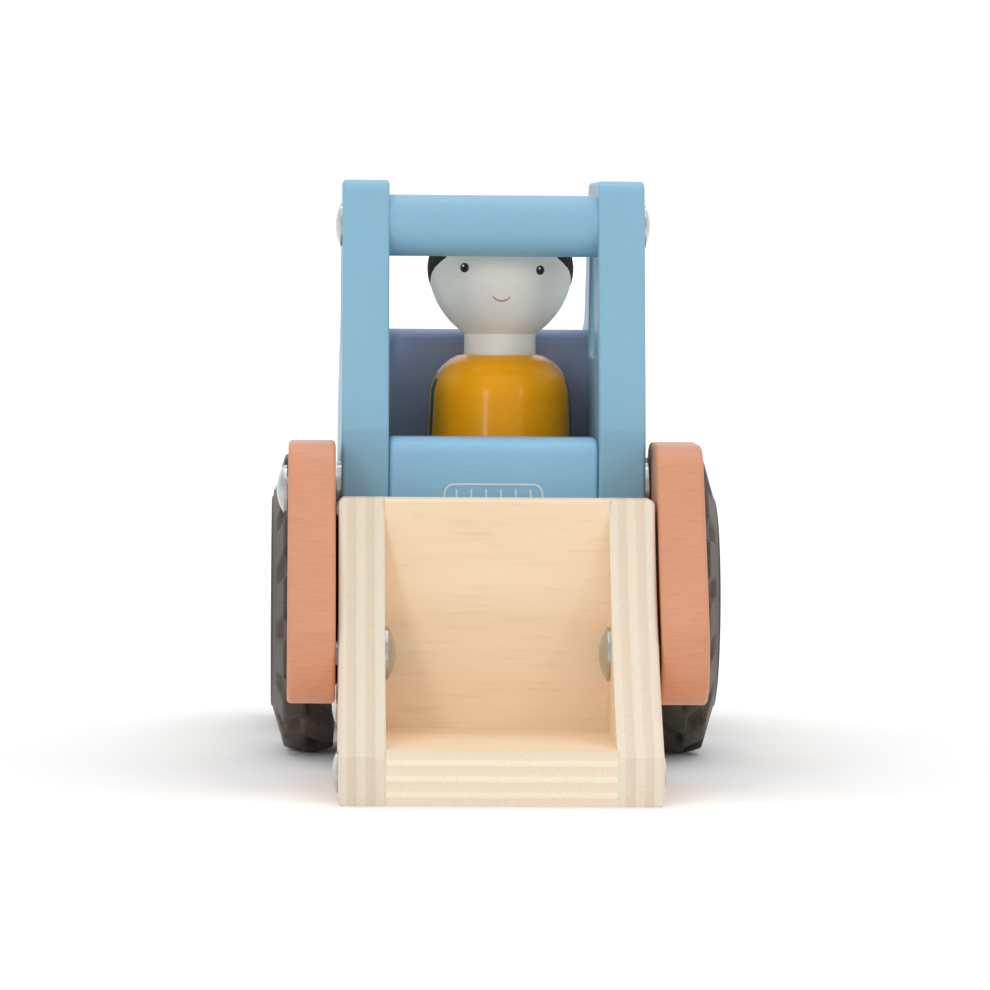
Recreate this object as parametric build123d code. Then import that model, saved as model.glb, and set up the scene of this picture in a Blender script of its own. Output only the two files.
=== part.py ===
from build123d import *
import os

# Wooden toy wheel loader, in millimetres.
# +Z is up, +Y runs from the bucket to the rear, X is across.
# The origin is on the ground, in the middle of the toy's length and width.

os.makedirs("parts", exist_ok=True)

# ---- driving dimensions ----
LENGTH = 241.6              # bucket lip to the back of the rear tyres
FRONT_RADIUS = 33.6         # front tyres
REAR_RADIUS = 31.6          # rear tyres
WHEELBASE = 80.0
PLY = 10.0                  # thickness of the side frames and lift arms
CAB_HALF = 32.3             # middle of the toy to the outer face of a side frame
ARM_INNER = 33.6            # middle of the toy to the inner face of a lift arm
BUCKET_HALF = 33.0          # middle of the toy to the outer face of a bucket side
TYRE_INNER = 34.5
TYRE_OUTER = 49.4
SLIDE = 2.0                 # the body stands this far to -X in the side play of its axles
ROD_RADIUS = 2.5            # axles, arm pivot rod and bucket pivot bolts
RUN_GAP = 0.05              # radial clearance of a turning rod

# ---- places worked out from them ----
LIP_Y = -LENGTH / 2
REAR_AXLE_Y = LENGTH / 2 - REAR_RADIUS
FRONT_AXLE_Y = REAR_AXLE_Y - WHEELBASE
AXLES = [(FRONT_AXLE_Y, FRONT_RADIUS), (REAR_AXLE_Y, REAR_RADIUS)]
FRAME_INNER = CAB_HALF - PLY
ARM_OUTER = ARM_INNER + PLY
BORE_RADIUS = ROD_RADIUS + RUN_GAP

# ---- cab ----
POST_Y = LIP_Y + 66.0       # front edge of the side frames
BODY_BOTTOM = 16.0
BODY_REAR = REAR_AXLE_Y + 19.0
CAB_TOP = 127.0
POST_KNEE_Z = 74.0          # where the front post starts to lean back
POST_TOP_Y = POST_Y + 12.0
DECK_TOP = 97.0             # rear deck of the side frames, at the cab
DECK_DROP = 23.0            # fall of the deck to the rear end
HOOD_TOP = 72.2
HOOD_BACK_Y = POST_Y + 16.3
HOOD_SETBACK = 0.6          # front block behind the front edges of the frames
SEAT_Z = 52.0
REAR_BODY_Y = 1.6
REAR_BODY_TOP = 94.7
BAR_Y = POST_TOP_Y + 5.3
BAR_Z = 117.3
BAR_RADIUS = 6.6
WINDOW_SILL = SEAT_Z + 37
WINDOW_TOP = CAB_TOP - 12

# ---- lift arms and bucket ----
ARM_HALF_WIDTH = 10.5
LIFT_Y = POST_Y + 10.0      # pivot of the arms on the frames
LIFT_Z = 60.8
KNEE_Y = LIFT_Y - 17.8      # bend of the arms
TIP_Y = LIP_Y + 34.8        # pivot of the bucket on the arms
TIP_Z = 28.6
BUCKET_TOP = 60.3
BUCKET_NOSE = 10.0          # height of the sides at the lip
BUCKET_TOP_RUN = 9.5        # level part of the sides at the top
BUCKET_BACK_Y = LIP_Y + 53.0
BUCKET_BACK_THICK = 11.0
BUCKET_SIDE_THICK = 9.6
BUCKET_INNER = BUCKET_HALF - BUCKET_SIDE_THICK
LIP_THICK = 11.3
FLOOR_RISE = 1.2            # the floor is thicker at the back than at the lip

# ---- fixings: a head is its radius and height ----
ROOF_HEAD = (4.6, 1.5)
ROOF_REACH = 12.0           # how far a roof bolt goes into the bar
LIFT_HEAD = (5.1, 2.2)
TIP_HEAD = (5.6, 2.3)
SCREW_HEAD = (4.2, 1.2)
SCREW_RADIUS = 1.8
SCREW_REACH = 8.0
NUT_RADIUS = 3.9
NUT_THICK = 2.0
NUT_SINK = 0.2              # nuts sit this far below the arm's face
NUT_ROOM = 0.4              # clearance round a nut
WASHER_RADIUS = 6.0
DOWEL_RADIUS = 3.0
DOWEL_REACH = 6.0
DOWELS = [
    (POST_Y + 9, 36.0),
    (FRONT_AXLE_Y + WHEELBASE / 2, 32.0),
    (REAR_BODY_Y + 18, 74.0),
    (BODY_REAR - 16, 62.0),
]

# ---- rounding ----
FRAME_CORNER = 3.5
FRAME_EDGE = 0.8
HOOD_ROUND = 3.0
BLOCK_EDGE = 1.2
ARM_EDGE = 0.9
ARM_BEND = 9.0
SIDE_EDGE = 1.4
BACK_EDGE = 1.0

# ---- wheels ----
HUB_RADIUS = 20.5
HUB_INNER = TYRE_INNER + 0.5
HUB_OUTER = TYRE_OUTER - 1.2
HUB_EASE = 0.6              # the hub's rim is eased by this much at its edge
HUB_RIM = 3.5               # width of the hub's eased rim
HUB_DISH = 2.4              # depth of the hollow that holds the axle cap
DISH_RADIUS = 14.5
DISH_SLOPE = 1.5
BEAD_IN = TYRE_OUTER - HUB_OUTER + HUB_EASE
BULGE_RISE = 2.0            # the tyre is widest this far out from the hub
CAP = (5.0, 2.2)
WASHER_THICK = 0.6
TREAD_DROP = 1.0            # fall of the tread from its middle to the shoulder
SHOULDER_IN = 3.0           # the shoulder's distance in from the side wall
WALL_IN = 1.1               # the side wall's distance in, halfway up
INNER_SHOULDER_IN = 1.0

# ---- doll ----
DOLL_X = 2.4                # the doll stands a little to one side of its wide seat pocket
DOLL_Y = -14.7
DOLL_BASE_Z = SEAT_Z - 3.0
POCKET_PLAY = 0.6
BASE_RADIUS = 15.0
HIP_RADIUS = 15.9
CHEST_RADIUS = 15.4
CHEST_DROP = 10.0           # from the neck down to the fullest part of the chest
SOCKET_RADIUS = BASE_RADIUS + 0.5
PEG_RADIUS = 3.0            # dowel between the doll's body and head
PEG_REACH = 8.0
SHOULDER_Z = 89.2
NECK_RADIUS = 7.8
CHIN_Z = 94.6
CHIN_RADIUS = 8.9
HEAD_Z = 108.3
HEAD_RADIUS = 15.8
HEAD_RISE = 14.6            # the crown is a little flatter than a ball


def outline(points, corner):
    """A closed flat outline in the YZ plane with rounded corners."""
    face = make_face(Polyline(*points, close=True))
    return fillet(face.vertices(), corner)


def plate(face, x_low, thickness):
    """A YZ outline, given its thickness along X."""
    return extrude(Plane.YZ.offset(x_low) * face, thickness)


def rod(x_low, x_high, y, z, radius):
    """A round rod along X."""
    return extrude(Plane.YZ.offset(x_low) * Pos(y, z) * Circle(radius), x_high - x_low)


def across(solid, x, y, z, side):
    """Lay a solid turned about Z along X, pointing to +X or -X."""
    return Plane(origin=(x, y, z), x_dir=(0, 1, 0), z_dir=(side, 0, 0)) * solid


def ball_arc(radius, rim_z, top_z):
    """Arc of a ball centred on the turning axis, from its rim up to its top."""
    rise = top_z - rim_z
    ball = (radius**2 + rise**2) / (2 * rise)
    middle_z = top_z - ball + (ball**2 - (radius / 2) ** 2) ** 0.5
    return ThreePointArc((radius, rim_z), (radius / 2, middle_z), (0, top_z))


def dome(radius, height):
    """A low domed head with a short straight rim."""
    rim = height * 0.3
    side = Polyline((0, 0), (radius, 0), (radius, rim))
    face = make_face(side + ball_arc(radius, rim, height) + Line((0, height), (0, 0)))
    return revolve(Plane.XZ * face, Axis.Z)


def frame_face():
    points = [
        (POST_Y + 10, BODY_BOTTOM),
        (POST_Y, LIFT_Z - 12),
        (POST_Y, POST_KNEE_Z),
        (POST_TOP_Y, CAB_TOP),
        (POST_TOP_Y + 45, CAB_TOP),
        (REAR_BODY_Y + 16, DECK_TOP),
        (BODY_REAR, DECK_TOP - DECK_DROP),
        (BODY_REAR, BODY_BOTTOM + 10),
        (BODY_REAR - 8, BODY_BOTTOM),
    ]
    return outline(points, FRAME_CORNER)


def window_face():
    points = [
        (POST_Y + 23, WINDOW_SILL),
        (POST_TOP_Y + 17, WINDOW_TOP),
        (REAR_BODY_Y - 8, WINDOW_TOP),
        (REAR_BODY_Y - 5, WINDOW_SILL),
    ]
    return outline(points, FRAME_CORNER)


def dowels():
    pegs = []
    for side in (-1, 1):
        x_low = side * FRAME_INNER - DOWEL_REACH
        for y, z in DOWELS:
            pegs.append(rod(x_low, x_low + 2 * DOWEL_REACH, y, z, DOWEL_RADIUS))
    return pegs


def side_frame(side):
    x_low = min(side * FRAME_INNER, side * CAB_HALF)
    body = plate(frame_face() - window_face(), x_low, PLY)
    body = fillet(body.faces().filter_by(Axis.X).edges(), FRAME_EDGE)
    body -= rod(x_low, x_low + PLY, LIFT_Y, LIFT_Z, ROD_RADIUS)
    body -= rod(x_low, x_low + PLY, BAR_Y, BAR_Z, ROD_RADIUS)
    for axle_y, axle_z in AXLES:
        body -= rod(x_low, x_low + PLY, axle_y, axle_z, BORE_RADIUS)
    for peg in dowels():
        body -= peg
    return body


def block(face):
    """A block that fills the width between the side frames."""
    return plate(face, -FRAME_INNER, 2 * FRAME_INNER)


def front_block():
    face_y = POST_Y + HOOD_SETBACK
    points = [
        (face_y + 10, BODY_BOTTOM + 1),
        (face_y, LIFT_Z - 12),
        (face_y, HOOD_TOP),
        (HOOD_BACK_Y, HOOD_TOP),
        (HOOD_BACK_Y, BODY_BOTTOM + 1),
    ]
    body = block(make_face(Polyline(*points, close=True)))
    top = body.edges().filter_by(Axis.X).sort_by(Axis.Z)[-2:]
    body = fillet(top, HOOD_ROUND)
    body = fillet(body.faces().filter_by(Axis.X).edges(), BLOCK_EDGE)
    body -= rod(-FRAME_INNER, FRAME_INNER, LIFT_Y, LIFT_Z, ROD_RADIUS)
    for peg in dowels():
        body -= peg
    return body


def chassis_block():
    points = [
        (HOOD_BACK_Y, BODY_BOTTOM + 1),
        (HOOD_BACK_Y, SEAT_Z),
        (BODY_REAR - 2, SEAT_Z),
        (BODY_REAR - 2, BODY_BOTTOM + 11),
        (BODY_REAR - 10, BODY_BOTTOM + 1),
    ]
    body = block(make_face(Polyline(*points, close=True)))
    pocket = SlotCenterToCenter(2 * DOLL_X + POCKET_PLAY, 2 * SOCKET_RADIUS)
    body -= Pos(0, DOLL_Y, DOLL_BASE_Z) * extrude(pocket, 2 * (SEAT_Z - DOLL_BASE_Z))
    for axle_y, axle_z in AXLES:
        body -= rod(-FRAME_INNER, FRAME_INNER, axle_y, axle_z, BORE_RADIUS)
    for peg in dowels():
        body -= peg
    return body


def rear_body():
    points = [
        (REAR_BODY_Y, SEAT_Z),
        (REAR_BODY_Y, REAR_BODY_TOP),
        (REAR_BODY_Y + 18, REAR_BODY_TOP - 1.5),
        (BODY_REAR - 2, DECK_TOP - DECK_DROP - 3),
        (BODY_REAR - 2, SEAT_Z),
    ]
    body = block(make_face(Polyline(*points, close=True)))
    top = body.edges().filter_by(Axis.X).sort_by(Axis.Z)[2:]
    body = fillet(top, HOOD_ROUND)
    for peg in dowels():
        body -= peg
    return body


def roof_bar():
    bar = rod(-FRAME_INNER, FRAME_INNER, BAR_Y, BAR_Z, BAR_RADIUS)
    for side in (-1, 1):
        outer = side * FRAME_INNER
        inner = side * (FRAME_INNER - ROOF_REACH)
        bar -= rod(min(inner, outer), max(inner, outer), BAR_Y, BAR_Z, ROD_RADIUS)
    return bar


def roof_bar_bolts():
    bolts = []
    for side in (-1, 1):
        inner = side * (FRAME_INNER - ROOF_REACH)
        outer = side * CAB_HALF
        shank = rod(min(inner, outer), max(inner, outer), BAR_Y, BAR_Z, ROD_RADIUS)
        bolts.append(shank + across(dome(*ROOF_HEAD), outer, BAR_Y, BAR_Z, side))
    return bolts


def arm_rod():
    """Steel rod through the frames, with a domed head outside the left arm."""
    head_x = -(ARM_OUTER + 0.3)
    body = rod(head_x, ARM_OUTER - NUT_SINK - NUT_THICK, LIFT_Y, LIFT_Z, ROD_RADIUS)
    return body + across(dome(*LIFT_HEAD), head_x, LIFT_Y, LIFT_Z, -1)


def sunk_nut(side, y, z):
    """A round nut, flush in the outer face of an arm."""
    x_outer = side * (ARM_OUTER - NUT_SINK)
    x_inner = side * (ARM_OUTER - NUT_SINK - NUT_THICK)
    return rod(min(x_outer, x_inner), max(x_outer, x_inner), y, z, NUT_RADIUS)


def arm_washers():
    rings = []
    for side in (-1, 1):
        x_low = min(side * CAB_HALF, side * (CAB_HALF + 1.0))
        ring = rod(x_low, x_low + 1.0, LIFT_Y, LIFT_Z, WASHER_RADIUS)
        rings.append(ring - rod(x_low, x_low + 1.0, LIFT_Y, LIFT_Z, ROD_RADIUS))
    return rings


def limb(start, end):
    """A round-ended bar of the arm's width, from one centre to another."""
    run = Vector(end) - Vector(start)
    middle = (Vector(start) + Vector(end)) * 0.5
    angle = Vector(1, 0).get_signed_angle(run, Vector(0, 0, 1))
    return Location(middle, (0, 0, angle)) * SlotCenterToCenter(run.length, 2 * ARM_HALF_WIDTH)


def lift_arm(side):
    pivot = (LIFT_Y, LIFT_Z)
    knee = (KNEE_Y, LIFT_Z)
    tip = (TIP_Y, TIP_Z)
    face = limb(knee, pivot) + limb(tip, knee)
    x_low = min(side * ARM_INNER, side * ARM_OUTER)
    body = plate(face, x_low, PLY)
    bend = body.edges().filter_by(Axis.X).sort_by_distance((x_low, KNEE_Y + 6, LIFT_Z - 12))[0]
    body = fillet(bend, ARM_BEND)
    body = fillet(body.faces().filter_by(Axis.X).edges(), ARM_EDGE)
    body -= rod(x_low, x_low + PLY, LIFT_Y, LIFT_Z, BORE_RADIUS)
    body -= rod(x_low, x_low + PLY, TIP_Y, TIP_Z, BORE_RADIUS)
    seat_depth = NUT_THICK + 0.5
    seat_low = min(side * ARM_OUTER, side * (ARM_OUTER - seat_depth))
    body -= rod(seat_low, seat_low + seat_depth, TIP_Y, TIP_Z, NUT_RADIUS + NUT_ROOM)
    if side > 0:
        body -= rod(seat_low, seat_low + seat_depth, LIFT_Y, LIFT_Z, NUT_RADIUS + NUT_ROOM)
    return body


def bucket_side(side):
    nose = (LIP_Y, BUCKET_NOSE)
    brow = (BUCKET_BACK_Y - BUCKET_TOP_RUN, BUCKET_TOP)
    front = ThreePointArc(nose, (LIP_Y + 25.8, 33.0), brow)
    rest = Polyline(brow, (BUCKET_BACK_Y, BUCKET_TOP), (BUCKET_BACK_Y, 0), (LIP_Y, 0), nose)
    x_low = min(side * BUCKET_INNER, side * BUCKET_HALF)
    body = plate(make_face(front + rest), x_low, BUCKET_SIDE_THICK)
    outer = body.faces().filter_by(Axis.X).sort_by(Axis.X)[-1 if side > 0 else 0]
    body = fillet(outer.edges(), SIDE_EDGE)
    body -= rod(x_low, x_low + BUCKET_SIDE_THICK, TIP_Y, TIP_Z, ROD_RADIUS)
    for y, z in bucket_screw_places():
        body -= rod(x_low, x_low + BUCKET_SIDE_THICK, y, z, SCREW_RADIUS)
    return body


def bucket_screw_places():
    floor_place = (LIP_Y + 14, LIP_THICK / 2)
    back_place = (BUCKET_BACK_Y - BUCKET_BACK_THICK / 2, 17.0)
    return [floor_place, back_place]


def screw_holes(body):
    for side in (-1, 1):
        x_low = min(side * BUCKET_INNER, side * (BUCKET_INNER - SCREW_REACH))
        for y, z in bucket_screw_places():
            body -= rod(x_low, x_low + SCREW_REACH, y, z, SCREW_RADIUS)
    return body


def bucket_floor():
    inner_y = BUCKET_BACK_Y - BUCKET_BACK_THICK
    points = [
        (LIP_Y, 0),
        (BUCKET_BACK_Y, 0),
        (BUCKET_BACK_Y, LIP_THICK + FLOOR_RISE),
        (inner_y, LIP_THICK + FLOOR_RISE),
        (LIP_Y, LIP_THICK),
    ]
    body = plate(make_face(Polyline(*points, close=True)), -BUCKET_INNER, 2 * BUCKET_INNER)
    return screw_holes(body)


def bucket_back():
    bottom = LIP_THICK + FLOOR_RISE
    inner_y = BUCKET_BACK_Y - BUCKET_BACK_THICK
    points = [
        (inner_y, bottom),
        (BUCKET_BACK_Y, bottom),
        (BUCKET_BACK_Y, BUCKET_TOP),
        (inner_y, BUCKET_TOP),
    ]
    body = plate(make_face(Polyline(*points, close=True)), -BUCKET_INNER, 2 * BUCKET_INNER)
    top = body.edges().filter_by(Axis.X).sort_by(Axis.Z)[-2:]
    return screw_holes(fillet(top, BACK_EDGE))


def bucket_screws():
    screws = []
    for side in (-1, 1):
        inner = side * (BUCKET_INNER - SCREW_REACH)
        outer = side * BUCKET_HALF
        for y, z in bucket_screw_places():
            shank = rod(min(inner, outer), max(inner, outer), y, z, SCREW_RADIUS)
            screws.append(shank + across(dome(*SCREW_HEAD), outer, y, z, side))
    return screws


def bucket_pivot_bolts():
    bolts = []
    for side in (-1, 1):
        inner = side * BUCKET_INNER
        outer = side * (ARM_OUTER - NUT_SINK - NUT_THICK)
        shank = rod(min(inner, outer), max(inner, outer), TIP_Y, TIP_Z, ROD_RADIUS)
        bolts.append(shank + across(dome(*TIP_HEAD), inner, TIP_Y, TIP_Z, -side))
    return bolts


def bucket_pivot_nuts():
    return [sunk_nut(side, TIP_Y, TIP_Z) for side in (-1, 1)]


def tyre(side, axle_y, radius):
    """Ring of rubber with a convex outer wall, a flat inner wall and a gently crowned tread."""
    half = (TYRE_OUTER - TYRE_INNER) / 2
    shoulder = radius - TREAD_DROP
    bead = (HUB_RADIUS, half - BEAD_IN)
    widest = (HUB_RADIUS + BULGE_RISE, half)
    wall = ((HUB_RADIUS + shoulder) / 2, half - WALL_IN)
    outer_edge = (shoulder, half - SHOULDER_IN)
    inner_edge = (shoulder, INNER_SHOULDER_IN - half)
    middle = (outer_edge[1] + inner_edge[1]) / 2
    crown = ThreePointArc(outer_edge, (radius, middle), inner_edge)
    outer_wall = Polyline(bead, widest, wall, outer_edge)
    inner_wall = Polyline(inner_edge, (HUB_RADIUS, -half), bead)
    ring = revolve(Plane.XZ * make_face(outer_wall + crown + inner_wall), Axis.Z)
    return across(ring, side * (TYRE_INNER + half), axle_y, radius, side)


def hub(side, axle_y, axle_z):
    """Turned wooden hub with a hollow in its outer face for the axle cap."""
    thickness = HUB_OUTER - HUB_INNER
    points = [
        (ROD_RADIUS, 0),
        (HUB_RADIUS, 0),
        (HUB_RADIUS, thickness - HUB_EASE),
        (HUB_RADIUS - HUB_RIM, thickness),
        (DISH_RADIUS, thickness),
        (DISH_RADIUS - DISH_SLOPE, thickness - HUB_DISH),
        (ROD_RADIUS, thickness - HUB_DISH),
    ]
    body = revolve(Plane.XZ * make_face(Polyline(*points, close=True)), Axis.Z)
    return across(body, side * HUB_INNER, axle_y, axle_z, side)


def axle(axle_y, axle_z):
    reach = HUB_OUTER - HUB_DISH
    return rod(-reach, reach, axle_y, axle_z, ROD_RADIUS)


def axle_caps(axle_y, axle_z):
    reach = HUB_OUTER - HUB_DISH
    return [across(dome(*CAP), side * reach, axle_y, axle_z, side) for side in (-1, 1)]


def axle_washers(axle_y, axle_z):
    rings = []
    for side in (-1, 1):
        near = side * (HUB_INNER - WASHER_THICK)
        far = side * HUB_INNER
        low, high = min(near, far), max(near, far)
        ring = rod(low, high, axle_y, axle_z, WASHER_RADIUS)
        rings.append(ring - rod(low, high, axle_y, axle_z, ROD_RADIUS))
    return rings


def doll_body():
    chest_z = SHOULDER_Z - CHEST_DROP
    collar = (NECK_RADIUS + 0.6, SHOULDER_Z)
    side = Polyline((0, DOLL_BASE_Z), (BASE_RADIUS, DOLL_BASE_Z), (HIP_RADIUS, DOLL_BASE_Z + 20))
    waist = Line((HIP_RADIUS, DOLL_BASE_Z + 20), (CHEST_RADIUS, chest_z))
    shoulder = ThreePointArc((CHEST_RADIUS, chest_z), (CHEST_RADIUS - 2.2, SHOULDER_Z - 3.3), collar)
    top = Polyline(
        collar, (PEG_RADIUS, SHOULDER_Z), (PEG_RADIUS, SHOULDER_Z - PEG_REACH),
        (0, SHOULDER_Z - PEG_REACH), (0, DOLL_BASE_Z)
    )
    face = make_face(side + waist + shoulder + top)
    return Pos(DOLL_X, DOLL_Y, 0) * revolve(Plane.XZ * face, Axis.Z)


def doll_head():
    chin = (CHIN_RADIUS, CHIN_Z)
    neck = Polyline(
        (0, SHOULDER_Z + PEG_REACH), (PEG_RADIUS, SHOULDER_Z + PEG_REACH), (PEG_RADIUS, SHOULDER_Z),
        (NECK_RADIUS, SHOULDER_Z), (NECK_RADIUS, CHIN_Z - 0.8), chin
    )
    cheek = ThreePointArc(chin, (HEAD_RADIUS - 2.2, HEAD_Z - 8.2), (HEAD_RADIUS, HEAD_Z))
    crown = ball_arc(HEAD_RADIUS, HEAD_Z, HEAD_Z + HEAD_RISE)
    axis = Line((0, HEAD_Z + HEAD_RISE), (0, SHOULDER_Z + PEG_REACH))
    return Pos(DOLL_X, DOLL_Y, 0) * revolve(Plane.XZ * make_face(neck + cheek + crown + axis), Axis.Z)


def doll_neck_peg():
    peg = Cylinder(PEG_RADIUS, 2 * PEG_REACH)
    return Pos(DOLL_X, DOLL_Y, SHOULDER_Z) * peg


def write(name, shape):
    if isinstance(shape, list):
        shape = Compound(children=shape)
    export_step(shape, f"parts/{name}.step")


def write_on_body(name, shape):
    """Write a piece that slides sideways with the body."""
    slide = Pos(-SLIDE, 0, 0)
    if isinstance(shape, list):
        write(name, [slide * solid for solid in shape])
    else:
        write(name, slide * shape)


write_on_body("side_frame_left", side_frame(-1))
write_on_body("side_frame_right", side_frame(1))
write_on_body("front_block", front_block())
write_on_body("chassis_block", chassis_block())
write_on_body("rear_body", rear_body())
write_on_body("joint_dowels", dowels())
write_on_body("roof_bar", roof_bar())
write_on_body("roof_bar_bolts", roof_bar_bolts())
write_on_body("arm_pivot_rod", arm_rod())
write_on_body("arm_pivot_nut", sunk_nut(1, LIFT_Y, LIFT_Z))
write_on_body("arm_washers", arm_washers())
write_on_body("lift_arm_left", lift_arm(-1))
write_on_body("lift_arm_right", lift_arm(1))
write_on_body("bucket_side_left", bucket_side(-1))
write_on_body("bucket_side_right", bucket_side(1))
write_on_body("bucket_floor", bucket_floor())
write_on_body("bucket_back", bucket_back())
write_on_body("bucket_screws", bucket_screws())
write_on_body("bucket_pivot_bolts", bucket_pivot_bolts())
write_on_body("bucket_pivot_nuts", bucket_pivot_nuts())
for end, (axle_y, axle_z) in zip(("front", "rear"), AXLES):
    write(f"{end}_axle", axle(axle_y, axle_z))
    write(f"{end}_axle_caps", axle_caps(axle_y, axle_z))
    write(f"{end}_axle_washers", axle_washers(axle_y, axle_z))
    for side_name, side in (("left", -1), ("right", 1)):
        write(f"{end}_tyre_{side_name}", tyre(side, axle_y, axle_z))
        write(f"{end}_hub_{side_name}", hub(side, axle_y, axle_z))
write_on_body("doll_body", doll_body())
write_on_body("doll_head", doll_head())
write_on_body("doll_neck_peg", doll_neck_peg())
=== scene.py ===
import math

import bmesh
import bpy
from mathutils import Matrix, Vector
from mathutils.bvhtree import BVHTree


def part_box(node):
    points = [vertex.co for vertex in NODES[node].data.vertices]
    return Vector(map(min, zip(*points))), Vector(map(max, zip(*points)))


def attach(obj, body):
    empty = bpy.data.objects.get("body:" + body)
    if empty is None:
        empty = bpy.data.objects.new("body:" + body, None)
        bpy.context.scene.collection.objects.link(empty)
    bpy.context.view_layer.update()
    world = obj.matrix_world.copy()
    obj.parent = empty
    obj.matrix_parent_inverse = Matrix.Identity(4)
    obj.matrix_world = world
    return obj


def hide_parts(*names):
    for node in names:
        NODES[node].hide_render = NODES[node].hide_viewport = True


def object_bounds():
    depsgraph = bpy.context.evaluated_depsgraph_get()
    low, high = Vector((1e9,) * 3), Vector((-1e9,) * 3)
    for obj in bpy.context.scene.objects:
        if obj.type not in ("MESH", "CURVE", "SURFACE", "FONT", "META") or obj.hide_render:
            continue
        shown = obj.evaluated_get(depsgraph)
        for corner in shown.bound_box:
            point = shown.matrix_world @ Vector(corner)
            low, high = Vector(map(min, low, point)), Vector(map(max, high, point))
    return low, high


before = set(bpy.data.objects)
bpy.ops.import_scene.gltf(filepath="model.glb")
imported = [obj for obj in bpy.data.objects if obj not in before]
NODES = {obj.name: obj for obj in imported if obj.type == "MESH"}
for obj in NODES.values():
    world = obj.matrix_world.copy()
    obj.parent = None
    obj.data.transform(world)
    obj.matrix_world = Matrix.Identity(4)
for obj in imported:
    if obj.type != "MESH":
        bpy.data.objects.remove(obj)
CAD_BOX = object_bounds()
MM = 0.001

# ---------------------------------------------------------------- places taken from the frame


def low(node):
    return Vector(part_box(node)[0])


def high(node):
    return Vector(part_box(node)[1])


def middle(node):
    return (low(node) + high(node)) / 2


HEAD = middle("doll_head")
HEAD_RADIUS = (high("doll_head").x - low("doll_head").x) / 2
HEAD_RISE = 14.6 * MM         # from the head's centre up to its crown
HEAD_CENTRE = Vector((HEAD.x, HEAD.y, high("doll_head").z - HEAD_RISE))


def surface_of(node):
    """A ray-casting tree of a frame piece, at rest."""
    piece = NODES[node]
    verts = [piece.matrix_world @ vertex.co for vertex in piece.data.vertices]
    return BVHTree.FromPolygons(verts, [tuple(polygon.vertices) for polygon in piece.data.polygons])


# ---------------------------------------------------------------- node helpers


class Nodes:
    """A material's node tree with short ways to add and join nodes."""

    def __init__(self, name):
        self.material = bpy.data.materials.new(name)
        self.material.use_nodes = True
        self.tree = self.material.node_tree
        self.shader = self.tree.nodes["Principled BSDF"]
        self.coords = self.add("ShaderNodeTexCoord")

    def add(self, kind, **values):
        node = self.tree.nodes.new(kind)
        for key, value in values.items():
            setattr(node, key, value)
        return node

    def join(self, source, target):
        self.tree.links.new(source, target)

    def set(self, **values):
        for key, value in values.items():
            self.shader.inputs[key.replace("_", " ")].default_value = value

    def stretched(self, scale, source=None):
        mapping = self.add("ShaderNodeMapping")
        mapping.inputs["Scale"].default_value = scale
        self.join(source or self.coords.outputs["Object"], mapping.inputs["Vector"])
        return mapping.outputs["Vector"]

    def noise(self, vector, scale, detail=4.0, rough=0.55, distortion=0.0):
        node = self.add("ShaderNodeTexNoise")
        node.inputs["Scale"].default_value = scale
        node.inputs["Detail"].default_value = detail
        node.inputs["Roughness"].default_value = rough
        node.inputs["Distortion"].default_value = distortion
        self.join(vector, node.inputs["Vector"])
        return node.outputs["Fac"]

    def ramp(self, factor, stops, interpolation="LINEAR"):
        node = self.add("ShaderNodeValToRGB")
        node.color_ramp.interpolation = interpolation
        elements = node.color_ramp.elements
        while len(elements) < len(stops):
            elements.new(0.5)
        for element, (place, colour) in zip(elements, stops):
            element.position = place
            element.color = (*colour, 1.0)
        self.join(factor, node.inputs["Fac"])
        return node.outputs["Color"]

    def math(self, operation, first, second=0.0, clamp=False):
        node = self.add("ShaderNodeMath", operation=operation, use_clamp=clamp)
        for slot, value in enumerate((first, second)):
            if isinstance(value, (int, float)):
                node.inputs[slot].default_value = value
            else:
                self.join(value, node.inputs[slot])
        return node.outputs[0]

    def axis(self, name, kind="Object"):
        split = self.add("ShaderNodeSeparateXYZ")
        self.join(self.coords.outputs[kind], split.inputs[0])
        return split.outputs[name]

    def mix(self, factor, first, second, blend="MIX"):
        node = self.add("ShaderNodeMix", data_type="RGBA", blend_type=blend)
        if isinstance(factor, (int, float)):
            node.inputs[0].default_value = factor
        else:
            self.join(factor, node.inputs[0])
        for slot, value in ((6, first), (7, second)):
            if isinstance(value, tuple):
                node.inputs[slot].default_value = (*value, 1.0)
            else:
                self.join(value, node.inputs[slot])
        return node.outputs[2]

    def bump(self, height, strength, distance):
        node = self.add("ShaderNodeBump")
        node.inputs["Strength"].default_value = strength
        node.inputs["Distance"].default_value = distance
        self.join(height, node.inputs["Height"])
        self.join(node.outputs["Normal"], self.shader.inputs["Normal"])

    def colour(self, output):
        self.join(output, self.shader.inputs["Base Color"])

    def roughness(self, factor, lowest, highest):
        node = self.add("ShaderNodeMapRange")
        node.inputs["To Min"].default_value = lowest
        node.inputs["To Max"].default_value = highest
        self.join(factor, node.inputs["Value"])
        self.join(node.outputs["Result"], self.shader.inputs["Roughness"])


# ---------------------------------------------------------------- materials


def tint(colour, factor):
    return tuple(channel * factor for channel in colour)


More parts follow.
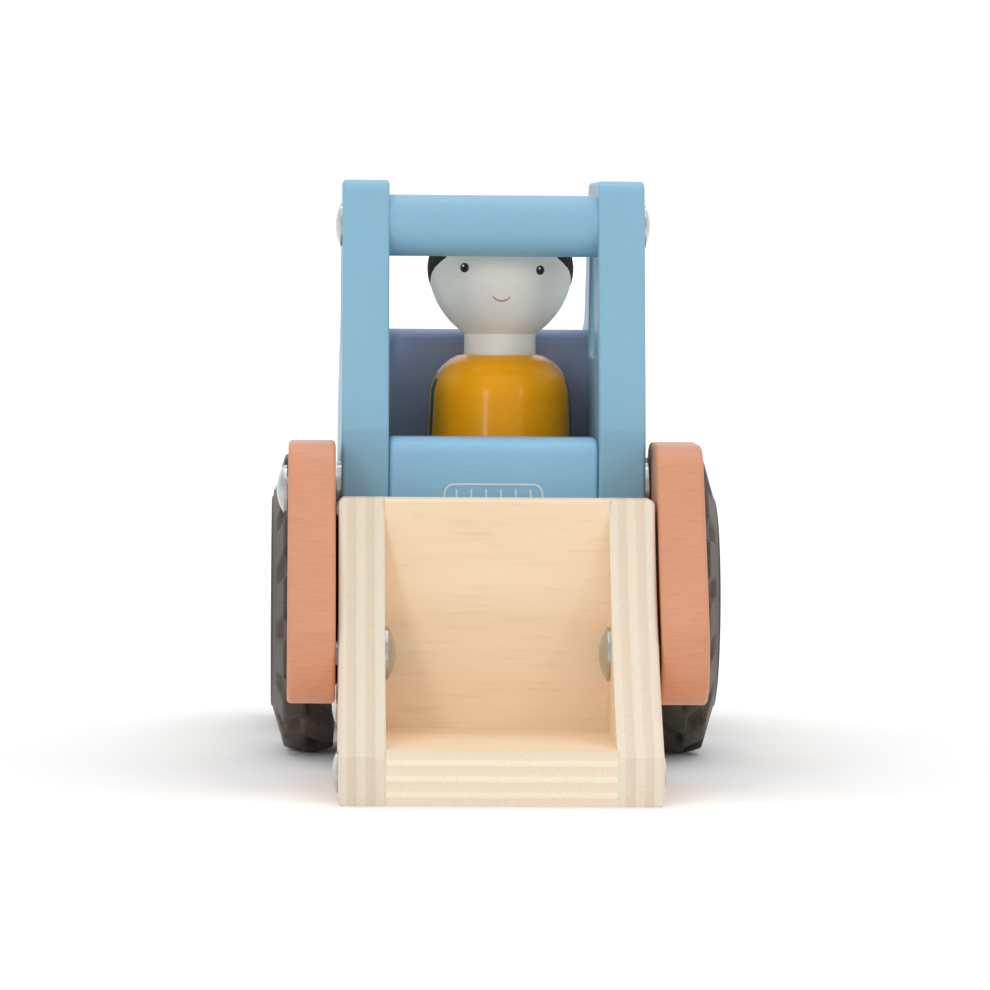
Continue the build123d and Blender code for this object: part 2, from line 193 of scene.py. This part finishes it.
def painted_wood(name, colour, grain=(1, 1, 1), gloss=0.38, relief=0.08, lines=0.4):
    """Satin paint over wood: the grain telegraphs through as fine lines."""
    nodes = Nodes(name)
    fibres = nodes.noise(nodes.stretched(grain), 2400, 2.5, 0.55)
    cloud = nodes.noise(nodes.coords.outputs["Object"], 45, 2.0, 0.5)
    speck = nodes.noise(nodes.coords.outputs["Object"], 3200, 2.0, 0.6)
    base = nodes.ramp(cloud, [(0.3, tint(colour, 0.975)), (0.7, tint(colour, 1.025))])
    lined = nodes.ramp(fibres, [(0.34, (0.9, 0.89, 0.88)), (0.52, (1, 1, 1))])
    nodes.colour(nodes.mix(lines, base, lined, "MULTIPLY"))
    nodes.roughness(cloud, gloss - 0.05, gloss + 0.07)
    height = nodes.math("ADD", fibres, nodes.math("MULTIPLY", speck, 0.35))
    nodes.bump(height, relief, 0.00025)
    return nodes.material


def plywood(name, stack, plies, start, thickness, grain, dark_share=0.5, first_light=False, painted_shade_factor=1.0):
    """Birch plywood: veneer on the faces square to the stack axis, plies on every edge.

    The plies are stacked along the axis from start. A dark and a light ply make one pair, and
    dark_share is the dark ply's part of it.
    """
    nodes = Nodes(name)
    place = nodes.axis(stack)
    wander = nodes.noise(nodes.coords.outputs["Object"], 90, 2.0)
    depth = nodes.math("SUBTRACT", place, start)
    depth = nodes.math("ADD", depth, nodes.math("MULTIPLY", wander, 0.0004))
    ply = nodes.math("DIVIDE", depth, thickness / plies * 2)
    if first_light:
        ply = nodes.math("ADD", ply, dark_share)
    ply = nodes.math("FRACT", ply)
    # The ply colours are multiplied by a factor; below 1 it is painted shade.
    stripes = nodes.ramp(
        ply,
        [
            (0.0, tint((0.83, 0.7, 0.54), painted_shade_factor)),
            (dark_share - 0.06, tint((0.8, 0.66, 0.49), painted_shade_factor)),
            (dark_share + 0.06, tint((0.87, 0.765, 0.61), painted_shade_factor)),
            (0.94, tint((0.88, 0.78, 0.63), painted_shade_factor)),
            (1.0, tint((0.83, 0.7, 0.54), painted_shade_factor)),
        ],
    )
    end_grain = nodes.noise(nodes.coords.outputs["Object"], 1500, 3.0, 0.7)
    pores = nodes.ramp(end_grain, [(0.3, (0.9, 0.87, 0.83)), (0.5, (1, 1, 1))])
    edge = nodes.mix(0.65, stripes, pores, "MULTIPLY")
    fibres = nodes.noise(nodes.stretched(grain), 900, 3.0, 0.6, 0.2)
    bands = nodes.noise(nodes.stretched(tuple(part**0.8 for part in grain)), 70, 3.0, 0.5, 0.5)
    face = nodes.ramp(
        bands,
        [(0.3, (0.83, 0.63, 0.42)), (0.5, (0.86, 0.665, 0.455)), (0.72, (0.88, 0.695, 0.49))],
    )
    lines = nodes.ramp(fibres, [(0.3, (0.84, 0.79, 0.73)), (0.47, (1, 1, 1))])
    face = nodes.mix(0.4, face, lines, "MULTIPLY")
    facing = nodes.math("ABSOLUTE", nodes.axis(stack, "Normal"))
    is_face = nodes.math("GREATER_THAN", facing, 0.8)
    nodes.colour(nodes.mix(is_face, edge, face))
    nodes.roughness(fibres, 0.46, 0.6)
    nodes.bump(nodes.math("ADD", fibres, end_grain), 0.14, 0.0003)
    return nodes.material


def bare_wood(name, colour, grain, gloss=0.5):
    """Turned or sawn beech with its short dark flecks."""
    nodes = Nodes(name)
    rings = nodes.noise(nodes.stretched(grain), 130, 4.0, 0.55, 0.6)
    fleck = nodes.noise(nodes.stretched(tuple(part * 0.8 for part in grain)), 1200, 2.0, 0.6)
    base = nodes.ramp(rings, [(0.32, tint(colour, 0.82)), (0.52, colour), (0.74, tint(colour, 1.08))])
    marks = nodes.ramp(fleck, [(0.3, (0.72, 0.6, 0.5)), (0.42, (1, 1, 1))])
    nodes.colour(nodes.mix(0.6, base, marks, "MULTIPLY"))
    nodes.roughness(rings, gloss - 0.06, gloss + 0.08)
    nodes.bump(fleck, 0.15, 0.0002)
    return nodes.material


def zinc(name):
    """Bright zinc plate with faint polishing marks."""
    nodes = Nodes(name)
    cloud = nodes.noise(nodes.coords.outputs["Object"], 380, 3.0, 0.6)
    nodes.colour(nodes.ramp(cloud, [(0.3, (0.42, 0.45, 0.46)), (0.7, (0.56, 0.59, 0.59))]))
    nodes.set(Metallic=1.0)
    nodes.roughness(cloud, 0.16, 0.3)
    nodes.bump(nodes.noise(nodes.coords.outputs["Object"], 1800, 2.0), 0.06, 0.0002)
    return nodes.material


def rubber(name):
    """Warm dark rubber with a fine, pale dusty speckle."""
    nodes = Nodes(name)
    cloud = nodes.noise(nodes.coords.outputs["Object"], 140, 5.0, 0.6)
    grainy = nodes.noise(nodes.coords.outputs["Object"], 2200, 3.0, 0.65)
    base = nodes.ramp(cloud, [(0.3, (0.034, 0.025, 0.018)), (0.7, (0.056, 0.044, 0.034))])
    dust = nodes.ramp(grainy, [(0.42, (0.0, 0.0, 0.0)), (0.8, (0.05, 0.041, 0.033))])
    nodes.colour(nodes.mix(1.0, base, dust, "ADD"))
    nodes.set(Specular_Tint=(1.0, 0.84, 0.72, 1.0))
    nodes.roughness(cloud, 0.42, 0.58)
    nodes.bump(grainy, 0.22, 0.0002)
    return nodes.material


def doll_gloss(name, colour, coat=0.8, rough=0.22, shine=0.5):
    """Lacquered paint on turned wood, with very fine brushing."""
    nodes = Nodes(name)
    cloud = nodes.noise(nodes.coords.outputs["Object"], 70, 3.0)
    brushed = nodes.noise(nodes.stretched((1, 1, 6)), 500, 3.0, 0.6)
    base = nodes.ramp(cloud, [(0.3, tint(colour, 0.93)), (0.7, tint(colour, 1.05))])
    lines = nodes.ramp(brushed, [(0.3, (0.93, 0.93, 0.93)), (0.5, (1, 1, 1))])
    nodes.colour(nodes.mix(0.6, base, lines, "MULTIPLY"))
    nodes.set(Coat_Weight=coat, Coat_Roughness=0.08, Specular_IOR_Level=shine)
    nodes.roughness(cloud, rough, rough + 0.1)
    nodes.bump(brushed, 0.04, 0.0002)
    return nodes.material


def plain_print(name, colour, rough=0.5):
    """Screen-printed ink, with the slight speckle of a thin layer."""
    nodes = Nodes(name)
    speck = nodes.noise(nodes.coords.outputs["Object"], 3000, 2.0)
    nodes.colour(nodes.ramp(speck, [(0.3, tint(colour, 0.9)), (0.6, colour)]))
    nodes.set(Roughness=rough)
    return nodes.material


BLUE = (0.226, 0.444, 0.59)
# The hood has the frame's blue paint, made lighter here as painted light.
HOOD_BLUE_PAINTED_LIGHTER = (0.27, 0.535, 0.745)
TERRACOTTA = (0.635, 0.272, 0.148)
PERIWINKLE = (0.27, 0.35, 0.55)
MUSTARD = (0.99, 0.4, 0.002)

FLOOR_RISE = 1.2 * MM         # the bucket's floor is this much thicker at the back than at the lip
FLOOR_THICK = high("bucket_floor").z - FLOOR_RISE
BACK_THICK = high("bucket_back").y - low("bucket_back").y


def side_ply(side, painted_shade_factor):
    """Five plies through one side of the bucket, light ones outermost, darkened by a factor as painted
    shade.
    """
    node = f"bucket_side_{side}"
    start = low(node).x
    thickness = high("bucket_side_right").x - low("bucket_side_right").x
    return plywood(f"ply_side_{side}", "X", 5, start, thickness, (1, 0.08, 1), 0.5, True, painted_shade_factor)


ZINC = zinc("bright_zinc")
RUBBER = rubber("tyre_rubber")
HUB_WOOD = bare_wood("hub_beech", (0.76, 0.56, 0.34), (1, 1, 0.3))
BLUE_FRAME = painted_wood("blue_frame", BLUE, (1, 0.25, 1))
BLUE_BAR = painted_wood("blue_bar", BLUE, (0.15, 1, 1))
# The hood block: the frame's blue, lighter as painted light.
BLUE_BLOCK_PAINTED_LIGHTER = painted_wood("blue_block_painted_lighter", HOOD_BLUE_PAINTED_LIGHTER, (0.15, 1, 1))
BODY_PAINT = painted_wood("periwinkle_paint", PERIWINKLE, (0.15, 1, 1), 0.42)
ARM_PAINT = painted_wood("terracotta_paint", TERRACOTTA, (0.1, 1, 1), 0.42, 0.22, 0.8)
CHASSIS_WOOD = bare_wood("chassis_beech", (0.74, 0.55, 0.34), (1, 0.15, 1))
MUSTARD_GLOSS = doll_gloss("mustard_gloss", MUSTARD, 0.2, 0.2, 0.12)
FACE_PAINT = doll_gloss("face_paint", (0.85, 0.8, 0.71), 0.05, 0.4)
SHIRT_PAINT = doll_gloss("shirt_paint", (0.78, 0.72, 0.62), 0.1, 0.35)
DARK_BAND_PAINT = doll_gloss("dark_band_paint", (0.055, 0.1, 0.105), 0.2, 0.35)
HAIR_PAINT = doll_gloss("hair_paint", (0.02, 0.014, 0.012), 0.0, 0.6, 0.2)
EYE_INK = plain_print("eye_ink", (0.012, 0.010, 0.010), 0.3)
GLINT_INK = plain_print("glint_ink", (0.85, 0.85, 0.83), 0.4)
SMILE_INK = plain_print("smile_ink", (0.66, 0.16, 0.16), 0.5)
GRILLE_INK = plain_print("grille_ink", (0.78, 0.83, 0.83), 0.5)
WASHER_PLASTIC = plain_print("washer_plastic", (0.8, 0.79, 0.75), 0.45)

FINISHES = {
    "side_frame_left": BLUE_FRAME,
    "side_frame_right": BLUE_FRAME,
    "front_block": BLUE_BLOCK_PAINTED_LIGHTER,
    "roof_bar": BLUE_BAR,
    "rear_body": BODY_PAINT,
    "chassis_block": CHASSIS_WOOD,
    "joint_dowels": CHASSIS_WOOD,
    "doll_neck_peg": CHASSIS_WOOD,
    "lift_arm_left": ARM_PAINT,
    "lift_arm_right": ARM_PAINT,
    # The sides' plies are darker than the floor's and the back's as painted shade, and the left side is the
    # darker.
    "bucket_side_left": side_ply("left", 0.83),
    "bucket_side_right": side_ply("right", 0.88),
    "bucket_floor": plywood("ply_floor", "Z", 7, low("bucket_floor").z, FLOOR_THICK, (0.08, 1, 1), 0.62),
    "bucket_back": plywood("ply_back", "Y", 7, low("bucket_back").y, BACK_THICK, (0.08, 1, 1)),
    "doll_body": MUSTARD_GLOSS,
    "doll_head": FACE_PAINT,
    "front_axle_washers": WASHER_PLASTIC,
    "rear_axle_washers": WASHER_PLASTIC,
}
STEEL_NODES = (
    "roof_bar_bolts",
    "arm_pivot_rod",
    "arm_pivot_nut",
    "arm_washers",
    "bucket_screws",
    "bucket_pivot_bolts",
    "bucket_pivot_nuts",
    "front_axle",
    "rear_axle",
    "front_axle_caps",
    "rear_axle_caps",
)


def dress_frame():
    for node in STEEL_NODES:
        FINISHES[node] = ZINC
    for name, node in NODES.items():
        finish = HUB_WOOD if "_hub_" in name else RUBBER if "_tyre_" in name else FINISHES[name]
        for slot in node.material_slots:
            slot.material = finish


# ---------------------------------------------------------------- mesh helpers


def add_piece(name, verts, faces, material, body, smooth=True):
    mesh = bpy.data.meshes.new(name)
    mesh.from_pydata([tuple(v) for v in verts], [], faces)
    mesh.update()
    work = bmesh.new()
    work.from_mesh(mesh)
    bmesh.ops.recalc_face_normals(work, faces=work.faces)
    work.to_mesh(mesh)
    work.free()
    for polygon in mesh.polygons:
        polygon.use_smooth = smooth
    piece = bpy.data.objects.new(name, mesh)
    bpy.context.scene.collection.objects.link(piece)
    piece.data.materials.append(material)
    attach(piece, body)
    return piece


def grid_faces(rows, columns, closed_rows=False, closed_columns=False):
    faces = []
    for row in range(rows if closed_rows else rows - 1):
        for column in range(columns if closed_columns else columns - 1):
            after_row = (row + 1) % rows
            after_column = (column + 1) % columns
            faces.append(
                (
                    row * columns + column,
                    row * columns + after_column,
                    after_row * columns + after_column,
                    after_row * columns + column,
                )
            )
    return faces


def smoothstep(edge0, edge1, value):
    t = min(max((value - edge0) / (edge1 - edge0), 0.0), 1.0)
    return t * t * (3 - 2 * t)


# ---------------------------------------------------------------- tyres

TYRE_BEAD = 20.5 * MM
LUGS = 14
ROUND_STEPS = LUGS * 26
GROOVE_DEPTH = 1.7 * MM
SIDE_RECESS = 0.6 * MM        # the grooves also cut this far into the side walls
GROOVE_WIDTH = 0.30           # at the shoulder, as a part of a lug's pitch
GROOVE_FLARE = 0.10           # how much wider a groove is at the middle
GROOVE_SOFT = 0.06            # half the width of a groove's sloping edge
LUG_SLANT = 0.52              # how far a lug leans from the middle to the shoulder
SHOULDER_DROP = 1.0 * MM      # fall of the tread from its middle to the shoulders
TREAD_SINK = 0.03 * MM        # keeps the tread inside its frame piece
OUTER_EDGE_IN = 3.05 * MM     # the tread starts this far in from the widest point
INNER_EDGE_IN = 1.05 * MM     # and ends this far from the inner wall
WALL_START = 3.4 * MM         # the side wall starts this far out from the bead
# The side wall's inset at its start, halfway up and at the shoulder.
WALL_INSETS = (0.5 * MM, 1.3 * MM, 3.0 * MM)
# The bulge beside the hub, in mm: in from the widest point, and out from the bead.
BULGE = ((1.8, 0.0), (0.75, 0.8), (0.12, 1.5), (0.02, 2.1), (0.12, 2.7), (0.45, 3.0))


def tyre_profile(radius, half):
    """The rubber's outline from the outer bead over the tread to the inner bead.

    Each point is its place out from the tyre's middle, and its radius.
    """
    shoulder = radius - SHOULDER_DROP
    halfway = (TYRE_BEAD + shoulder) / 2
    wall_start = TYRE_BEAD + WALL_START
    first_in, half_in, last_in = WALL_INSETS
    outline = [(half - inset * MM, TYRE_BEAD + rise * MM) for inset, rise in BULGE]
    for step in range(4):
        t = step / 4
        outline.append((half - first_in - (half_in - first_in) * t, wall_start + (halfway - wall_start) * t))
    for step in range(5):
        t = step / 5
        outline.append((half - half_in - (last_in - half_in) * t, halfway + (shoulder - halfway) * t))
    outer = half - OUTER_EDGE_IN
    inner = INNER_EDGE_IN - half
    for step in range(17):
        t = step / 16
        across = 2 * t - 1
        drop = TREAD_SINK + SHOULDER_DROP * across * across
        outline.append((outer + (inner - outer) * t, radius - drop))
    for step in range(1, 9):
        t = step / 8
        outline.append((inner + (-half - inner) * t, shoulder + (TYRE_BEAD - shoulder) * t))
    return outline


def lug_height(angle, x, half):
    """1 on a lug, 0 in a groove. The lugs slant and alternate on either side of the middle."""
    across = abs(x) / half
    stagger = 0.5 if x >= 0 else 0.0
    phase = (angle * LUGS / (2 * math.pi) + LUG_SLANT * across + stagger) % 1.0
    edge = (GROOVE_WIDTH + GROOVE_FLARE * (1 - across)) / 2
    groove = 1 - smoothstep(edge - GROOVE_SOFT, edge + GROOVE_SOFT, abs(phase - 0.5))
    return 1 - groove * smoothstep(0.02, 0.2, across)


def tyre(end, side_name):
    """A lugged tyre in the place of its plain frame piece."""
    node = f"{end}_tyre_{side_name}"
    centre = middle(node)
    half = (high(node).x - low(node).x) / 2
    radius = (high(node).z - low(node).z) / 2
    profile = tyre_profile(radius, half)
    side = -1 if side_name == "left" else 1
    verts = []
    for step in range(ROUND_STEPS):
        angle = 2 * math.pi * step / ROUND_STEPS
        for x, r in profile:
            up = smoothstep(0.4, 0.8, (r - TYRE_BEAD) / (radius - TYRE_BEAD))
            dip = (1 - lug_height(side * angle, x, half)) * up
            reach = r - GROOVE_DEPTH * dip
            wide = side * (x - math.copysign(SIDE_RECESS * dip, x))
            back = reach * math.cos(angle)
            rise = reach * math.sin(angle)
            verts.append((centre.x + wide, centre.y + back, centre.z + rise))
    faces = grid_faces(ROUND_STEPS, len(profile), closed_rows=True, closed_columns=True)
    piece = add_piece(f"{end}_tyre_{side_name}_tread", verts, faces, RUBBER, f"{end}_wheels")
    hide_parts(node)


# ---------------------------------------------------------------- doll


HEAD_SKIN = surface_of("doll_head")
BODY_SKIN = surface_of("doll_body")
CAST = 60 * MM                # rays start this far out
BURIED = -0.06 * MM           # painted edges end this far inside the skin
FACE_TILT = math.radians(1.6)


def outward(skin, centre, direction, lift):
    """The point of a skin met from outside along a direction from a centre, raised by lift."""
    point = skin.ray_cast(centre + direction * CAST, -direction)[0]
    return point + direction * lift


def on_head(x, z, lift):
    """The point of the face at x and z from the head's centre, raised by lift."""
    right = x * math.cos(FACE_TILT) + z * math.sin(FACE_TILT)
    up = z * math.cos(FACE_TILT) - x * math.sin(FACE_TILT)
    start = HEAD_CENTRE + Vector((right, -CAST, up))
    point = HEAD_SKIN.ray_cast(start, Vector((0, 1, 0)))[0]
    return point + (point - HEAD_CENTRE).normalized() * lift


def face_patch(name, outline, lift, material):
    """A thin painted patch on the face: a closed outline with a rim that ends in the skin."""
    count = len(outline)
    middle_x = sum(x for x, z in outline) / count
    middle_z = sum(z for x, z in outline) / count
    verts = [on_head(middle_x, middle_z, lift * 1.1)]
    for share, height in ((0.5, lift * 1.08), (0.9, lift), (1.0, BURIED)):
        for x, z in outline:
            near_x = middle_x + (x - middle_x) * share
            near_z = middle_z + (z - middle_z) * share
            verts.append(on_head(near_x, near_z, height))
    faces = [(0, 1 + k, 1 + (k + 1) % count) for k in range(count)]
    for ring in range(2):
        start = 1 + ring * count
        for k in range(count):
            after = (k + 1) % count
            faces.append((start + k, start + count + k, start + count + after, start + after))
    base = 1 + 2 * count
    faces.append(tuple(base + k for k in reversed(range(count))))
    add_piece(name, verts, faces, material, "doll")


def oval(x, z, wide, tall, count=28):
    return [
        (x + wide * math.cos(2 * math.pi * k / count), z + tall * math.sin(2 * math.pi * k / count))
        for k in range(count)
    ]


def strip(name, rows, material):
    """A thin closed band. Each row of points crosses it, with both ends inside the skin."""
    verts = [point for row in rows for point in row]
    across = len(rows[0])
    faces = grid_faces(len(rows), across, closed_columns=True)
    faces.append(tuple(range(across)))
    last = (len(rows) - 1) * across
    faces.append(tuple(last + k for k in range(across)))
    add_piece(name, verts, faces, material, "doll")


EYE_X = 8.2 * MM
EYE_Z = -0.3 * MM
EYE_HALF = (0.95 * MM, 1.08 * MM)
GLINT_HALF = (0.24 * MM, 0.26 * MM)
SMILE_CENTRE_Z = -4.9 * MM
SMILE_RADIUS = 2.3 * MM
SMILE_HALF = math.radians(54)
SMILE_THICK = 0.17 * MM


def smile():
    """An arc with tapered ends, a little raised from the face."""
    rows = []
    for step in range(19):
        angle = -math.pi / 2 - SMILE_HALF + 2 * SMILE_HALF * step / 18
        thick = SMILE_THICK * (0.55 + 0.45 * math.sin(math.pi * step / 18))
        row = []
        for share, lift in ((-1.0, BURIED), (-0.8, 0.1 * MM), (0.8, 0.1 * MM), (1.0, BURIED)):
            reach = SMILE_RADIUS + thick * share
            row.append(on_head(reach * math.cos(angle), SMILE_CENTRE_Z + reach * math.sin(angle), lift))
        rows.append(row)
    strip("doll_smile", rows, SMILE_INK)


LOCKS = 40
LOCK_DEPTH = 0.05 * MM
HAIR_THICK = 0.15 * MM
CROWN_RISE = math.pi / 2 - 0.001
# The hair's lower edge: degrees round from the face, and mm above the head's centre.
HAIRLINE = ((0, 9.5), (25, 8.2), (42, 4.6), (52, 2.0), (70, -0.8), (90, -4.4), (125, -7.6), (180, -9.0))


def hair_edge(angle):
    turn = math.degrees(abs(math.atan2(math.sin(angle), math.cos(angle))))
    for (before, low_z), (after, high_z) in zip(HAIRLINE, HAIRLINE[1:]):
        if turn <= after:
            return (low_z + (high_z - low_z) * (turn - before) / (after - before)) * MM
    return HAIRLINE[-1][1] * MM


def hair():
    """A thin painted cap of hair: fine combed locks run from the crown to the hairline."""
    around = 240
    down = 26
    inner, outer = [], []
    for step in range(around):
        angle = 2 * math.pi * step / around
        lowest = math.asin(hair_edge(angle) / HEAD_RADIUS)
        for row in range(down):
            t = row / (down - 1)
            rise = CROWN_RISE - (CROWN_RISE - lowest) * t
            flat = math.cos(rise)
            direction = Vector((math.sin(angle) * flat, -math.cos(angle) * flat, math.sin(rise)))
            sway = 2.2 * math.sin(3 * angle + 2 * t)
            lock = LOCK_DEPTH * math.cos(angle * LOCKS + sway) * smoothstep(0.05, 0.4, t)
            thick = (HAIR_THICK + lock) * (1 - smoothstep(0.94, 1.0, t))
            outer.append(outward(HEAD_SKIN, HEAD_CENTRE, direction, thick))
            inner.append(outward(HEAD_SKIN, HEAD_CENTRE, direction, BURIED * 2))
    shell = grid_faces(around, down, closed_rows=True)
    count = around * down
    under = [tuple(index + count for index in face[::-1]) for face in shell]
    rim = []
    for step in range(around):
        here = step * down + down - 1
        after = ((step + 1) % around) * down + down - 1
        rim.append((here, after, after + count, here + count))
    crown = tuple(step * down for step in range(around))
    ceiling = tuple(step * down + count for step in range(around))
    faces = shell + under + rim + [crown, ceiling[::-1]]
    add_piece("doll_hair", outer + inner, faces, HAIR_PAINT, "doll")


BODY_RADIUS = 15 * MM
BAND_LIFT = 0.1 * MM
BAND_CENTRE = Vector((middle("doll_body").x, middle("doll_body").y, low("doll_body").z + 26 * MM))
# Across a band: place as a part of half its width, and height above the skin.
BAND_SECTION = ((-1.0, BURIED), (-0.9, BAND_LIFT), (0.0, BAND_LIFT * 1.2), (0.9, BAND_LIFT), (1.0, BURIED))


def body_band(name, turn, width, rises, material):
    """A painted band down the doll's body.

    A rise is an angle in degrees above the band's centre, or when negative a depth in mm below it.
    """
    rows = []
    for rise in rises:
        tilt = math.radians(max(rise, 0.0))
        flat = math.cos(tilt)
        centre = BAND_CENTRE + Vector((0, 0, min(rise, 0.0) * MM))
        reach = width / 2 / (BODY_RADIUS * max(flat, 0.5))
        row = []
        for share, lift in BAND_SECTION:
            angle = math.radians(turn) + share * reach
            direction = Vector((math.sin(angle) * flat, -math.cos(angle) * flat, math.sin(tilt)))
            row.append(outward(BODY_SKIN, centre, direction, lift))
        rows.append(row)
    strip(name, rows, material)


def doll():
    for side, name in ((-1, "left"), (1, "right")):
        x = side * EYE_X
        face_patch(f"doll_eye_{name}", oval(x, EYE_Z, *EYE_HALF), 0.12 * MM, EYE_INK)
        glint = oval(x - 0.22 * MM, EYE_Z + 0.4 * MM, *GLINT_HALF, 14)
        face_patch(f"doll_glint_{name}", glint, 0.2 * MM, GLINT_INK)
        # A dark teal band down each side of the body, near its outline.
        dark_band_rises = [32.0 - 2 * k for k in range(17)] + [-1.5 * k for k in range(1, 16)]
        shoulder = [57.0 - 2 * k for k in range(12)]
        body_band(f"doll_dark_band_{name}", side * 77 + 3, 1.9 * MM, dark_band_rises, DARK_BAND_PAINT)
        body_band(f"doll_strap_{name}", side * 86 + 4, 3.0 * MM, shoulder, SHIRT_PAINT)
    smile()
    hair()


# ---------------------------------------------------------------- grille print


GRILLE_HALF = 10.4 * MM
GRILLE_TOP = 62.4 * MM
GRILLE_BOTTOM = 51.5 * MM
GRILLE_CORNER = 2.0 * MM
GRILLE_LINES = 6
GRILLE_PITCH = 3.15 * MM
INK_WIDTH = 0.36 * MM
INK_LIFT = 0.08 * MM


def ink_line(points, closed, name):
    """A printed line of even width on the hood's front face, along points (x, z)."""
    face_y = low("front_block").y
    centre_x = middle("front_block").x
    count = len(points)
    verts = []
    for k, (x, z) in enumerate(points):
        before = points[(k - 1) % count] if closed or k else points[k]
        after = points[(k + 1) % count] if closed or k < count - 1 else points[k]
        run = Vector((after[0] - before[0], after[1] - before[1])).normalized()
        off = Vector((-run.y, run.x)) * INK_WIDTH / 2
        for share, lift in ((1, INK_LIFT), (1, -INK_LIFT), (-1, -INK_LIFT), (-1, INK_LIFT)):
            verts.append((centre_x + x + off.x * share, face_y + lift, z + off.y * share))
    faces = grid_faces(count, 4, closed_rows=closed, closed_columns=True)
    if not closed:
        last = (count - 1) * 4
        faces += [(3, 2, 1, 0), (last, last + 1, last + 2, last + 3)]
    add_piece(name, verts, faces, GRILLE_INK, "body", smooth=False)


def grille():
    """A printed border with rounded corners, and upright lines inside it."""
    points = []
    out = GRILLE_HALF - GRILLE_CORNER
    top = GRILLE_TOP - GRILLE_CORNER
    bottom = GRILLE_BOTTOM + GRILLE_CORNER
    corners = ((out, top, 0), (-out, top, 90), (-out, bottom, 180), (out, bottom, 270))
    for x, z, start in corners:
        for step in range(7):
            angle = math.radians(start + 15 * step)
            points.append((x + GRILLE_CORNER * math.cos(angle), z + GRILLE_CORNER * math.sin(angle)))
    ink_line(points, True, "grille_border")
    for k in range(GRILLE_LINES):
        x = (k - (GRILLE_LINES - 1) / 2) * GRILLE_PITCH
        line = [(x, GRILLE_TOP - 1.0 * MM), (x, GRILLE_BOTTOM + 1.6 * MM)]
        ink_line(line, False, f"grille_line_{k + 1}")


# ---------------------------------------------------------------- studio


def stage_material():
    nodes = Nodes("studio_paper")
    cloud = nodes.noise(nodes.coords.outputs["Object"], 3, 2.0)
    nodes.colour(nodes.ramp(cloud, [(0.3, (0.93, 0.93, 0.93)), (0.7, (0.95, 0.95, 0.95))]))
    nodes.set(Roughness=0.9)
    return nodes.material


SWEEP_HALF = 3.0
SWEEP_FRONT = -2.2
SWEEP_BEND = 1.2              # the floor starts to curve up here, with a radius of 1 m
SWEEP_TOP = 3.5


def studio():
    """A seamless sweep: pale floor that curves up into the backdrop."""
    profile = [(SWEEP_FRONT, 0.0), (SWEEP_BEND, 0.0)]
    for step in range(1, 13):
        angle = math.radians(90 * step / 12)
        profile.append((SWEEP_BEND + math.sin(angle), 1 - math.cos(angle)))
    profile.append((SWEEP_BEND + 1, SWEEP_TOP))
    verts = []
    for y, z in profile:
        verts += [(-SWEEP_HALF, y, z), (SWEEP_HALF, y, z)]
    mesh = bpy.data.meshes.new("studio_sweep")
    mesh.from_pydata(verts, [], grid_faces(len(profile), 2))
    for polygon in mesh.polygons:
        polygon.use_smooth = True
    sweep = bpy.data.objects.new("studio_sweep", mesh)
    bpy.context.scene.collection.objects.link(sweep)
    mesh.materials.append(stage_material())


def softbox(name, place, target, width, height, power):
    data = bpy.data.lights.new(name, "AREA")
    data.shape = "RECTANGLE"
    data.size = width
    data.size_y = height
    data.energy = power
    lamp = bpy.data.objects.new(name, data)
    lamp.location = place
    lamp.rotation_euler = (Vector(target) - Vector(place)).to_track_quat("-Z", "Y").to_euler()
    bpy.context.scene.collection.objects.link(lamp)


def lights():
    toy = (0, -0.05, 0.06)
    softbox("top_softbox", (0.0, -0.25, 1.1), toy, 1.0, 1.0, 2.2)
    softbox("left_softbox", (-0.6, -1.35, 0.37), toy, 0.17, 0.66, 2.6)
    softbox("right_softbox", (0.8, -1.2, 0.42), toy, 0.1, 0.5, 1.1)
    softbox("backdrop_softbox", (0.0, 0.7, 1.9), (0, 2.1, 0.4), 2.4, 0.8, 18.0)
    world = bpy.data.worlds.new("studio_air")
    world.use_nodes = True
    background = world.node_tree.nodes["Background"]
    background.inputs["Color"].default_value = (1.0, 1.0, 1.0, 1.0)
    background.inputs["Strength"].default_value = 0.78
    bpy.context.scene.world = world


CAMERA_SIDE = -42.7 * MM
CAMERA_BACK = 1.224           # in front of the bucket's lip
CAMERA_HEIGHT = 116.3 * MM
CAMERA_DOWN = 2.49            # degrees
CAMERA_TURN = 1.82            # degrees, towards +X
CAMERA_ROLL = 0.4             # degrees
LENS = 221.2


def camera():
    data = bpy.data.cameras.new("camera")
    data.lens = LENS
    data.sensor_width = 36.0
    data.clip_start = 0.05
    data.clip_end = 20.0
    eye = bpy.data.objects.new("camera", data)
    eye.location = (CAMERA_SIDE, CAD_BOX[0][1] - CAMERA_BACK, CAMERA_HEIGHT)
    turn = Matrix.Rotation(math.radians(-CAMERA_TURN), 3, "Z")
    down = Matrix.Rotation(math.radians(90 - CAMERA_DOWN), 3, "X")
    roll = Matrix.Rotation(math.radians(CAMERA_ROLL), 3, "Z")
    eye.rotation_euler = (turn @ down @ roll).to_euler()
    bpy.context.scene.collection.objects.link(eye)
    bpy.context.scene.camera = eye


dress_frame()
for end_name in ("front", "rear"):
    for wheel_side in ("left", "right"):
        tyre(end_name, wheel_side)
doll()
grille()
studio()
lights()
camera()
bpy.context.scene.view_settings.view_transform = "Standard"
